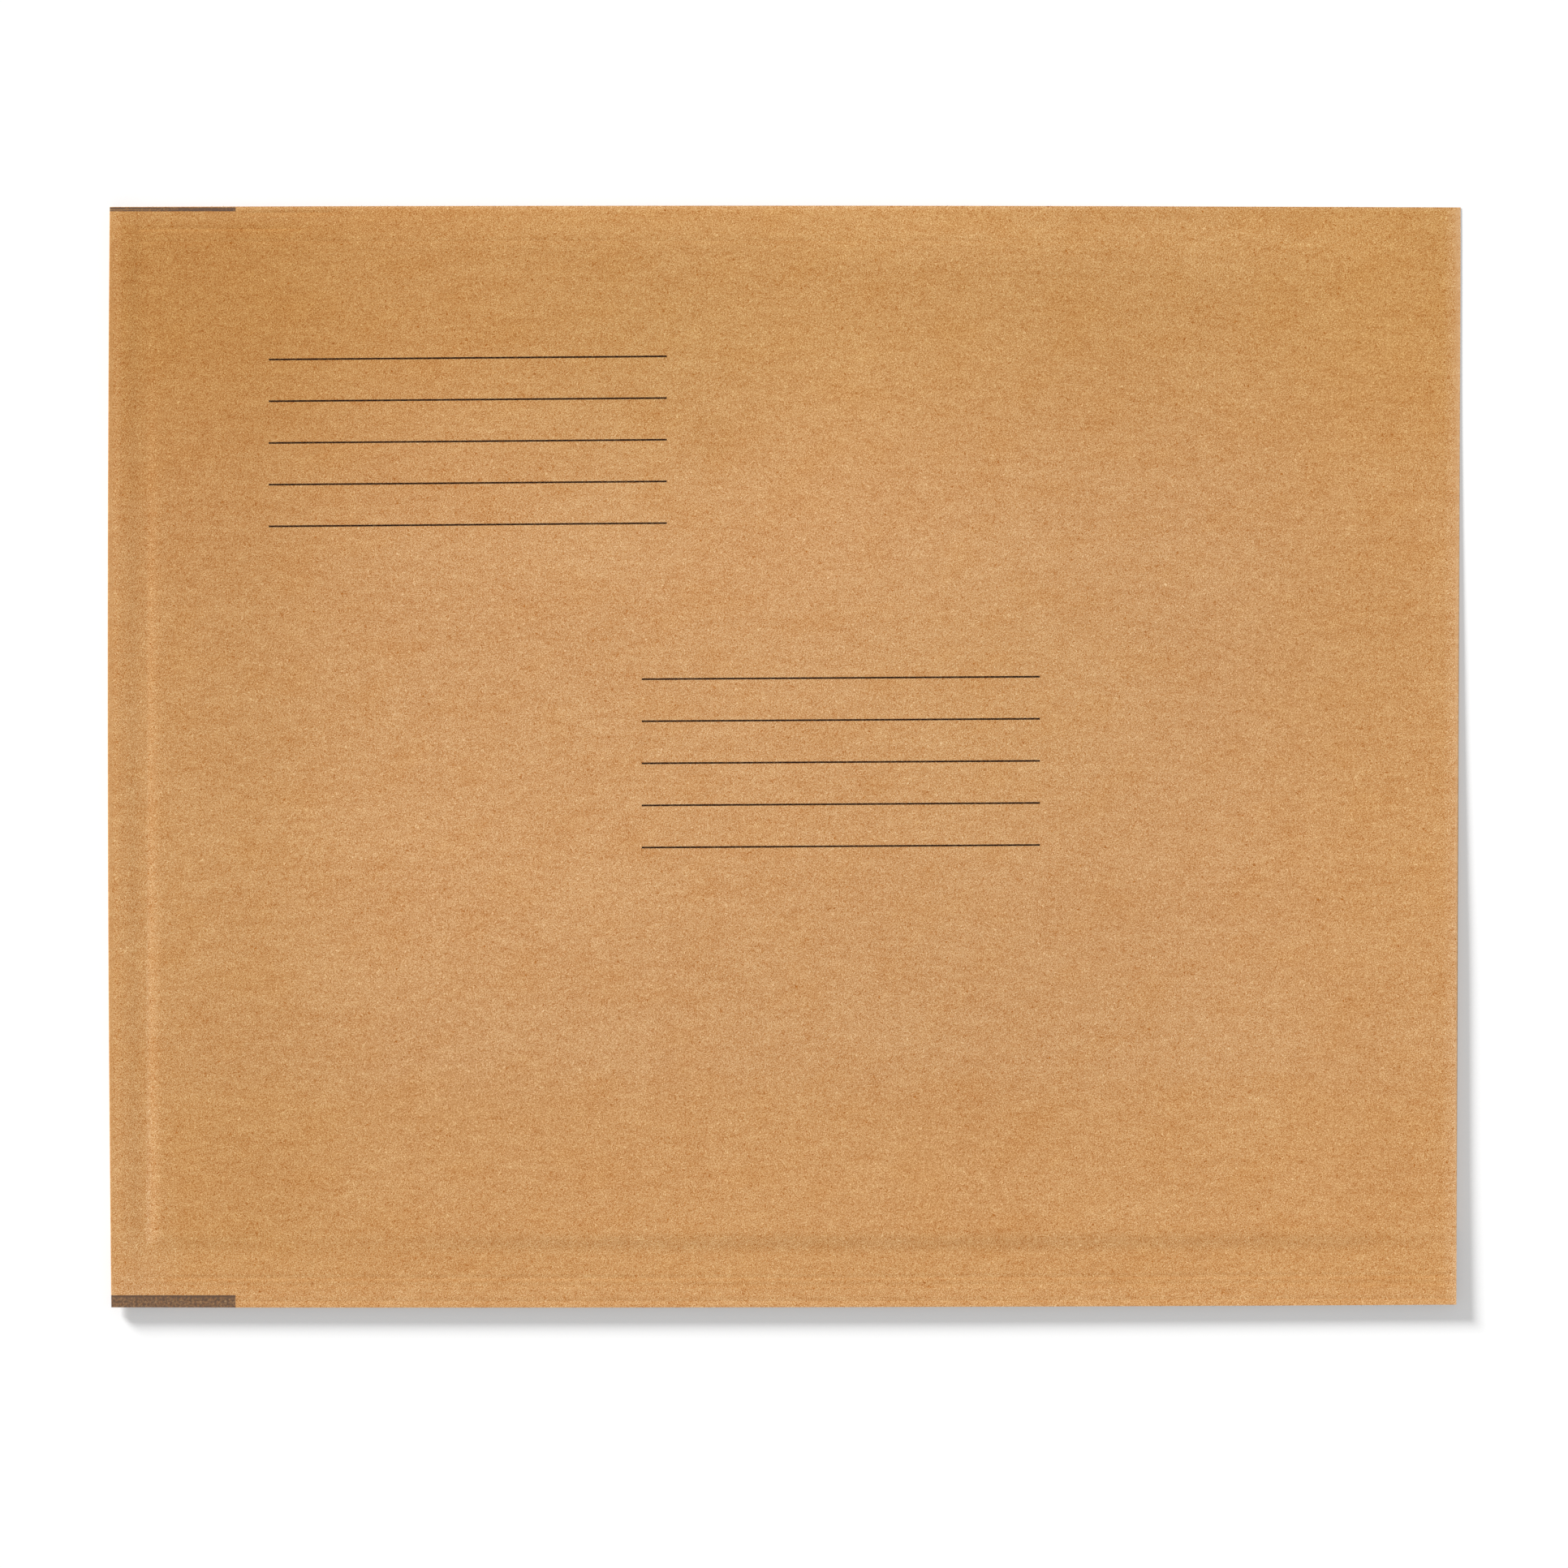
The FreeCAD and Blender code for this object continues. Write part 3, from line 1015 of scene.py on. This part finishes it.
@dataclass(frozen=True, kw_only=True)
class Kraft(Finish):
    """Brown kraft paper: short pulp fibres, a little mottled, paler where it is folded and along
    its cut edges, partly from wear and partly as a painted highlight, and with a painted highlight
    along the mouth's ridge.

    A share that stands beside a ramp says how much of the colour the ramp brings.
    """

    sizes: MailerSizes
    name: str = "kraft_wrap"
    colour: Colour = (0.603, 0.324, 0.1315)
    spread: Colour = (0.088, 0.165, 0.275)
    dust_spread: Colour = (0.068, 0.112, 0.18)
    fold_colour: Colour = (0.68, 0.41, 0.20)
    roughness: float = 0.8
    specular: float = 0.1
    depth: float = 0.012 * MM
    bend: Span = mm(0.8, 0.6)
    gloss: float = 0.01
    fold_run: Span = mm(1.3, 0.7)
    fold_share: float = 0.55
    specks: tuple[float, float, float] | None = (*mm(5.5, 0.2), 0.3)
    speck_tone: float = 3.0
    curls: tuple[Mark, ...] = (
        Mark(0.66, 0.4, 25, 0.0, 1.1, 1.65, True), Mark(0.46, 0.3, -40, 0.0, 5.3, 1.65, True),
        Mark(0.8, 0.44, 80, 0.0, 9.7, -1.65, True), Mark(0.5, 0.32, 10, 0.0, 14.9, -1.65, True))
    patches: Mark = Mark(0.9, 0.9, 0, 0.0, 7.1, 0.9)
    dust: tuple[Mark, ...] = (
        Mark(0.17, 0.15, 0, 0.0, 23.0, 9.6), Mark(0.27, 0.2, 30, 0.0, 29.0, 8.0, True))
    mottle: tuple[Mark, ...] = (
        Mark(2.6, 1.1, 4, 1.0, 31.0, 1.7), Mark(6.8, 2.6, -5, 1.0, 37.0, 1.3),
        Mark(26, 14, 0, 0.0, 41.0, 0.48), Mark(60, 1.3, 0, 0.0, 43.0, 0.33))
    relief: tuple[Mark, ...] = (
        Mark(0.9, 0.24, 20, 0.0, 57.0), Mark(0.8, 0.24, -50, 0.0, 63.0),
        Mark(3.0, 1.6, 0, 0.0, 69.0, 1.6))
    stains: tuple[ToneShift, ...] = (
        # The head, the mouth and the foot, darker and browner.
        ToneShift((0.955, 0.930, 0.79), (Run(Measure.Y, 40, 92, Ease.SMOOTH),)),
        ToneShift((0.953, 0.938, 0.870), (
            Run(Measure.X, -70, -112, Ease.SMOOTH), Run(Measure.Y, -112, -92))),
        ToneShift((0.980, 0.958, 0.875), (
            Run(Measure.X, 84, 124, Ease.SMOOTH), Run(Measure.Y, -95, 0, least=0.3))),
        # The paler stretches of the far seam, towards the foot and by the mouth.
        ToneShift((1.06, 1.085, 1.13), (
            Run(Measure.FAR, 16, 6), Run(Measure.FAR, 1.5, 5, least=0.5),
            Run(Measure.X, -10, 35), Run(Measure.X, 132, 112))),
        ToneShift((1.02, 1.06, 1.16), (Run(Measure.FAR, 5, 2), Run(Measure.X, -70, -108))))
    clouds: tuple[Cloud, ...] = (
        # The first is the darker far corner at the mouth.
        Cloud(*mm(-136.5, 111, 125), (0.925, 0.865, 0.79), even=20.0 * MM),
        Cloud(*mm(-70, 24, 70), (0.962, 0.962, 0.962)),
        Cloud(*mm(112, 28, 52), (0.970, 0.968, 0.950)),
        Cloud(*mm(42, 12, 42), (1.024, 1.036, 1.015)),
        Cloud(*mm(-25, 74, 46), (0.957, 0.968, 0.965)),
        Cloud(*mm(-80, -68, 62), (0.968, 0.972, 0.970)))
    seam_tint: Colour = (0.990, 0.960, 0.875)
    seam_runs: tuple[tuple[float, Run], ...] = (
        (0.75, Run(Measure.Y, -58, -76)), (0.25, Run(Measure.Y, -92, -102)))
    seam_end: Run = Run(Measure.X, -134, -116)
    # A painted highlight along the crest of the pad's ridge at the mouth, strongest towards the
    # near seam.
    ridge_tint: Colour = (1.11, 1.18, 1.35)
    ridge_runs: tuple[Run, ...] = (
        Run(Measure.FROM_MOUTH, 7.5, 8), Run(Measure.FROM_MOUTH, 10.9, 8, Ease.LINEAR),
        Run(Measure.NEAR, 12.4, 13.4))
    ridge_fade: Run = Run(Measure.Y, 110, -95, Ease.LINEAR)
    ridge_power: float = 1.6
    patch_tint: Colour = (0.985, 0.955, 0.90)
    patch: Mark = Mark(13, 8, 15, 1.0, 73.0)
    patch_run: Span = (-0.1, 0.35)
    smudge_tint: Colour = (0.955, 0.925, 0.87)
    smudge_place: Span = mm(-14.6, 64.8)
    smudge_rim: Span = mm(5.4, 3.6)
    smudge_heart: Span = mm(3.0, 1.0)
    heart_share: float = 0.6
    # Paler at the foot's fold and along the cut edges: partly wear, and partly a painted highlight
    # on the foot's fold and the far cut edge.
    foot_worn: tuple[tuple[float, Span], ...] = ((0.42, mm(3.3, 0.5)), (0.32, mm(1.0, 0.0)))
    worn: tuple[tuple[float, tuple[Run, ...]], ...] = (
        (0.2, (Run(Measure.FAR, 0.9, 0),)), (0.1, (Run(Measure.NEAR, 5, 3),)),
        (0.12, (Run(Measure.FROM_MOUTH, 3.6, 1.5), Run(Measure.Y, -20, 80))))
    ink: Colour = (0.014, 0.004, 0.001)
    ink_share: float = 0.97
    ink_wear: Mark = Mark(0.6, 0.3, detail=1.0, shift=51.0, weight=0.4)
    mark_ink: Colour = (0.134, 0.079, 0.051)
    blocks: tuple[RuledBlock, ...] = (
        RuledBlock(left=-104.0 * MM, first=80.17 * MM, slope=0.0081, pitch=8.42 * MM),
        RuledBlock(left=-28.7 * MM, first=15.64 * MM, slope=0.0064, pitch=8.49 * MM))

    def material(self) -> Material:
        """Builds the material.

        Returns:
            The material.
        """
        s, p = self.sizes, Painter(self, flat=True)
        at = Spot(p.x, p.y, s.half_length, s.half_width)
        face = self.address_side(p)
        kept = 1.0 - at.from_mouth.smaller(at.from_foot).ramp(*self.fold_run) * self.fold_share
        fibres = (p.strands(*self.curls) + p.grain(self.patches)) * kept
        tone = fibres + p.grain(*self.mottle) - p.flecks(*self.specks) * self.speck_tone
        sheet = p.toned(self.colour, self.spread, tone)
        for mask, tint in self.aged(p, at, face):
            sheet = p.mix(mask, sheet, tint, "MULTIPLY")
        # Folds and cut edges go over to the paler fold colour: wear, with a painted highlight.
        paper = p.mix(self.wear(at), sheet, p.toned(self.fold_colour, self.spread, tone))
        dust = p.toned((1.0, 1.0, 1.0), self.dust_spread, p.grain(*self.dust) * kept)
        paper = p.mix(1.0, paper, dust, "MULTIPLY")
        paper = p.mix(CornerMarks().mask(p, at) * face, paper, self.mark_ink)
        lines = reduce(add, [block.mask(p) for block in self.blocks])
        ink = lines * face * (self.ink_share + p.grain(self.ink_wear))
        gloss = self.roughness + fibres * self.gloss
        return p.finish(p.mix(ink, paper, self.ink), p.grain(*self.relief), gloss)

    def address_side(self, p: Painter) -> Value:
        """1 on the outer skin of the address side, and 0 elsewhere."""
        skin = (p.attribute("outside") > 0.95) * (p.z > self.sizes.middle * 0.6)
        return skin * (p.attribute("bag_side") > -0.5)

    def aged(self, p: Painter, at: Spot, face: Value) -> list[tuple[Value, Colour]]:
        """Where the sheet takes another tone: broad shifts, patches and a smudge, and a painted
        highlight along the mouth ridge.

        Args:
            p: The material's painter.
            at: The place on the bag.
            face: 1 on the address side.

        Returns:
            Each tone's strength and tint.
        """
        smudge = at.away(*self.smudge_place)
        heart = smudge.ramp(*self.smudge_heart) * self.heart_share
        seam = reduce(add, [at.within([run], share) for share, run in self.seam_runs])
        return [
            *((at.within(tone_shift.runs), tone_shift.tint) for tone_shift in self.stains),
            *((cloud.strength(at), cloud.tint) for cloud in self.clouds),
            (at.within([self.seam_end], seam), self.seam_tint),
            # The painted highlight on the mouth ridge's crest, on the address side.
            (at.within(self.ridge_runs, at.within([self.ridge_fade]) ** self.ridge_power) * face,
             self.ridge_tint),
            (p.grain(self.patch).ramp(*self.patch_run), self.patch_tint),
            (smudge.ramp(*self.smudge_rim) * (1.0 - heart) * face, self.smudge_tint),
        ]

    def wear(self, at: Spot) -> Value:
        """How pale the folds and the cut edges are: partly wear, and partly a painted highlight on
        the foot's fold and the far cut edge.

        Args:
            at: The place on the bag.

        Returns:
            The strength of the worn colour.
        """
        from_foot = at.from_foot - at.foot_draw()
        foot = reduce(add, [from_foot.ramp(*run, Ease.LINEAR) * share
                            for share, run in self.foot_worn])
        return reduce(Value.larger, [at.within(runs, share) for share, runs in self.worn], foot)


@dataclass(frozen=True, kw_only=True)
class PulpFibre(Finish):
    """Macerated grey paper fibre: fluff and clumps, with a few dark scraps."""

    name: str = "grey_fibre"
    colour: Colour = (0.36, 0.325, 0.28)
    spread: Colour = (0.13, 0.13, 0.14)
    roughness: float = 0.95
    specular: float = 0.12
    depth: float = 0.12 * MM
    bend: Span = mm(1.1, 0.7)
    textures: tuple[Texture, ...] = (
        Texture((Mark(0.9, 0.28, 25, 2.0, 2.0, bent=True),
                 Mark(0.9, 0.28, -50, 2.0, 6.0, bent=True)), tone=3.0),
        Texture((Mark(2.6, 2.0, 0, 2.0, 12.0, bent=True),), tone=3.0))
    specks: tuple[float, float, float] | None = (*mm(1.7, 0.3), 0.28)
    speck_tone: float = 2.4


@dataclass(frozen=True, kw_only=True)
class InnerKraft(Finish):
    """The thin brown paper that lines the pocket: strands over a soft cloud."""

    name: str = "kraft_liner"
    colour: Colour = (0.62, 0.36, 0.165)
    spread: Colour = (0.08, 0.10, 0.14)
    roughness: float = 0.72
    specular: float = 0.3
    depth: float = 0.01 * MM
    textures: tuple[Texture, ...] = (
        Texture((Mark(1.0, 0.22, 12, 1.0, 2.5, bent=True),
                 Mark(0.9, 0.2, -60, 1.0, 8.5, bent=True)), tone=3.5, gloss=0.05),
        Texture((Mark(5, 3, 0, 1.0, 14.5),), tone=1.6, height=0.0))


@dataclass(frozen=True, kw_only=True)
class HotMelt(Finish):
    """The flap's pressure adhesive: a ribbed, spotted amber coat with a wet sheen."""

    name: str = "adhesive_coat"
    colour: Colour = (0.72, 0.56, 0.31)
    spread: Colour = (0.05, 0.07, 0.12)
    roughness: float = 0.28
    specular: float = 0.5
    depth: float = 0.02 * MM
    textures: tuple[Texture, ...] = (
        Texture((Mark(40, 0.9, 90, 1.0, 3.0),), tone=2.0),
        Texture((Mark(1.2, 1.2, 0, 2.0, 9.0),), tone=2.0, height=0.5, gloss=0.3))


@dataclass(frozen=True, kw_only=True)
class Glassine(Finish):
    """The release strip: thin white glassine, cloudy and threaded, with a silicone gloss."""

    name: str = "release_glassine"
    colour: Colour = (0.80, 0.785, 0.735)
    spread: Colour = (0.02, 0.02, 0.03)
    roughness: float = 0.33
    specular: float = 0.5
    depth: float = 0.006 * MM
    textures: tuple[Texture, ...] = (
        Texture((Mark(3.5, 2.4, 0, 2.0, 4.0),), tone=3.0, gloss=0.25),
        Texture((Mark(1.2, 0.15, 70, 1.0, 8.0),), tone=2.0))


# ---- the pieces


@dataclass(frozen=True)
class FrayedEdge:
    """Short pulp fibres that stand out of the pad's cut edges, leaning every way."""

    spacing: float = 0.75 * MM
    length: float = 0.34 * MM
    width: float = 0.035 * MM
    sink: float = 0.05
    cut: float = 0.9
    lean: tuple[float, float, float] = (0.9, 0.5, 0.9)
    least: tuple[float, float, float] = (0.6, 0.6, 0.25)
    most: tuple[float, float, float] = (1.2, 1.2, 1.0)
    seed: int = 11

    def fray(self, pad: Object, material: Material) -> Object:
        """Adds the fibres to the pad's own mesh.

        Args:
            pad: The pad.
            material: The fibres' material.

        Returns:
            The pad.
        """
        tree = ShapeTree("frayed_edge", {
            "Density": 1 / self.spacing ** 2, "Length": self.length, "Width": self.width})
        whole_pad, length = tree.given.outputs["Geometry"], tree.size("Length")
        normal = tree.add("GeometryNodeInputNormal").outputs[0]
        aside = abs(tree.value("ShaderNodeSeparateXYZ", inputs={0: normal}, output=1))
        roots = tree.add("GeometryNodeDistributePointsOnFaces", inputs={
            "Mesh": whole_pad, "Selection": aside > self.cut, "Density": tree.size("Density"),
            "Seed": self.seed})
        fibre = tree.add("GeometryNodeMeshCone", {"fill_type": "NGON"}, {
            "Vertices": 4, "Side Segments": 2, "Radius Top": 0.0,
            "Radius Bottom": tree.size("Width"), "Depth": length})
        down = tree.add("ShaderNodeCombineXYZ", inputs={2: length * -self.sink})
        sunk = tree.add("GeometryNodeTransform", inputs={
            "Geometry": fibre.outputs["Mesh"], "Translation": down.outputs[0]})
        lean = tree.add("FunctionNodeRandomValue", {"data_type": "FLOAT_VECTOR"}, {
            "Min": tuple(-reach for reach in self.lean), "Max": self.lean, "Seed": self.seed + 1})
        aim = tree.add("ShaderNodeVectorMath", {"operation": "ADD"}, {
            0: roots.outputs["Normal"], 1: lean.outputs["Value"]})
        turn = tree.add("FunctionNodeAlignRotationToVector", {"axis": "Z"}, {
            "Vector": aim.outputs[0]})
        size = tree.add("FunctionNodeRandomValue", {"data_type": "FLOAT_VECTOR"}, {
            "Min": self.least, "Max": self.most, "Seed": self.seed + 2})
        tufts = tree.add("GeometryNodeInstanceOnPoints", inputs={
            "Points": roots.outputs["Points"], "Instance": sunk.outputs[0],
            "Rotation": turn.outputs[0], "Scale": size.outputs["Value"]})
        joined = tree.add("GeometryNodeJoinGeometry", inputs={0: tufts.outputs[0]})
        tree.feed(joined.inputs[0], whole_pad)
        return tree.shape(pad, joined.outputs[0], material)


@dataclass
class Layer:
    """One soft layer of the bag: what it replaces, its record's slot and its surfaces."""

    name: str
    node: str
    slot: str
    outer: Loop
    inner: Loop

    def build(self, maker: LayerMaker, relief: Relief, material: Material) -> Object:
        """Draws the layer flat, and gives it the bag's relief and its finish."""
        return relief.settle(maker.mesh(self.name, self.outer, self.inner), material)

    def place(self, piece: Object) -> None:
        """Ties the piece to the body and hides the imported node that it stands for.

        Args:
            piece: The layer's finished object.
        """
        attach(piece, BODY)
        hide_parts(self.node)
        LOG.info("%s: %d faces, stands for %s", piece.name, len(piece.data.polygons), self.node)


@dataclass
class Bag:
    """The mailer's paper wrap, fibre pad and pocket liner, nested in each other."""

    sizes: MailerSizes
    hair: float = 0.015 * MM

    def layers(self, maker: LayerMaker) -> tuple[Layer, Layer, Layer]:
        """How the three layers are cut.

        Args:
            maker: Knows the surfaces of the bag.

        Returns:
            The wrap, the pad and the liner.
        """
        s, hair = self.sizes, self.hair
        inside, pressed = s.middle - s.wrap, s.seam_half - s.wrap
        return (
            Layer("kraft_paper_wrap", "outer_wrap", "kraft_wrap",
                  Loop.joined(maker.flap_loop(0.0), maker.body_loop(s.middle, s.seam_half, 0.0)),
                  Loop.joined(maker.flap_loop(s.wrap), maker.body_loop(inside, pressed, s.wrap))),
            Layer("fibre_pad", "fibre_padding", "grey_fibre",
                  maker.body_loop(inside - hair, pressed - hair, s.wrap + hair),
                  maker.body_loop(s.liner_half, s.liner)),
            Layer("pocket_liner", "inner_liner", "kraft_liner",
                  maker.body_loop(s.liner_half - hair, s.liner - hair),
                  maker.body_loop(s.liner_half - s.liner, hair)),
        )

    def build(self) -> None:
        """Builds, dresses and places the three layers."""
        maker, relief = LayerMaker(self.sizes), Relief(self.sizes)
        wrap, pad, liner = self.layers(maker)
        wrap.place(wrap.build(maker, relief, Kraft(sizes=self.sizes).material()))
        fibre = PulpFibre().material()
        padding = FrayedEdge().fray(pad.build(maker, relief, fibre), fibre)
        pad.place(padding)
        liner.place(liner.build(maker, relief, InnerKraft().material()))


@dataclass(frozen=True)
class FlapStrip:
    """A packed strip on the flap, which keeps its shape and takes a finish."""

    node: str
    finish: Finish

    def dress(self, nodes: dict[str, Object]) -> None:
        """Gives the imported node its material.

        Args:
            nodes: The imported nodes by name.
        """
        materials = nodes[self.node].data.materials
        materials.clear()
        materials.append(self.finish.material())
        LOG.info("%s: dressed as %s", self.node, self.finish.name)


# ---- the stage


@dataclass(frozen=True)
class Studio:
    """A white table under one broad lamp from the upper left, and a camera above."""

    camera_height: float = 3.0
    camera_y: float = -5.5 * MM
    lens: float = 340.9
    sensor: float = 36.0
    shadow_run: tuple[float, float] = (1.5, -1.45)
    lamp_power: float = 4.98
    lamp_spread: float = 16.5
    sky: float = 0.35
    table: float = 0.8
    table_glow: float = 0.33
    table_size: float = 4.0

    def white_for_lens(self, nodes: Nodes, other: float, shown: float) -> Value:
        """A level for light in the scene, and another where the lens or a gloss sees it.

        Args:
            nodes: The tree that uses it.
            other: The level for all other light.
            shown: The level that is seen.

        Returns:
            The level.
        """
        path = nodes.add("ShaderNodeLightPath")
        rays = ("Is Camera Ray", "Is Glossy Ray", "Is Transmission Ray")
        seen = reduce(Value.larger, [Value(nodes, path.outputs[ray]) for ray in rays])
        return seen * (shown - other) + other

    def light(self) -> None:
        """Sets the lamp and the even light round it."""
        lamp = bpy.data.lights.new("broad_lamp", "SUN")
        lamp.energy = self.lamp_power
        lamp.angle = math.radians(self.lamp_spread)
        holder = placed("broad_lamp", lamp)
        holder.rotation_euler = Vector((*self.shadow_run, -1.0)).to_track_quat("-Z", "Y").to_euler()
        world = bpy.data.worlds.new("even_light")
        world.use_nodes = True
        bpy.context.scene.world = world
        nodes = Nodes(world.node_tree)
        nodes.tree.nodes.clear()
        sky = nodes.add("ShaderNodeBackground", inputs={
            "Color": (1.0, 1.0, 1.0, 1.0), "Strength": self.white_for_lens(nodes, self.sky, 1.0)})
        nodes.add("ShaderNodeOutputWorld", inputs={"Surface": sky.outputs[0]})

    def lay_table(self) -> None:
        """Lays the white table top under the mailer."""
        half = self.table_size / 2
        mesh = bpy.data.meshes.new("table_top")
        mesh.from_pydata([(-half, -half, 0), (half, -half, 0), (half, half, 0), (-half, half, 0)],
                         [], [(0, 1, 2, 3)])
        table = placed("table_top", mesh)
        material = bpy.data.materials.new("white_table")
        material.use_nodes = True
        nodes = Nodes(material.node_tree)
        nodes.tree.nodes.clear()
        level = self.white_for_lens(nodes, self.table, 1.0)
        grey = nodes.add("ShaderNodeCombineXYZ", inputs={0: level, 1: level, 2: level})
        matt = nodes.add("ShaderNodeBsdfDiffuse", inputs={"Color": grey.outputs[0]})
        shown = nodes.add("ShaderNodeMixShader", inputs={
            0: self.white_for_lens(nodes, 0.0, self.table_glow),
            1: matt.outputs[0], 2: nodes.add("ShaderNodeEmission").outputs[0]})
        nodes.add("ShaderNodeOutputMaterial", inputs={"Surface": shown.outputs[0]})
        mesh.materials.append(material)

    def set_camera(self) -> None:
        """Hangs the camera over the mailer, looking straight down."""
        eye = bpy.data.cameras.new("overhead")
        eye.lens, eye.sensor_width, eye.clip_end = self.lens, self.sensor, 20.0
        holder = placed("overhead", eye)
        holder.location = (0.0, self.camera_y, self.camera_height)
        bpy.context.scene.camera = holder

    def build(self) -> None:
        """Sets up the lamp, the table and the camera."""
        self.light()
        self.lay_table()
        self.set_camera()
        bpy.context.scene.view_settings.view_transform = "Standard"


def main() -> None:
    """Builds the mailer and its stage."""
    logging.basicConfig(level=logging.INFO, format="%(name)s: %(message)s")
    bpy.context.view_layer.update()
    Bag(MailerSizes.from_frame()).build()
    for strip in (FlapStrip("adhesive_strip", HotMelt()), FlapStrip("release_liner", Glassine())):
        strip.dress(frame["nodes"])
    Studio().build()
    bpy.context.view_layer.update()
    LOG.info("boxes written")


if __name__ == "__main__":
    main()
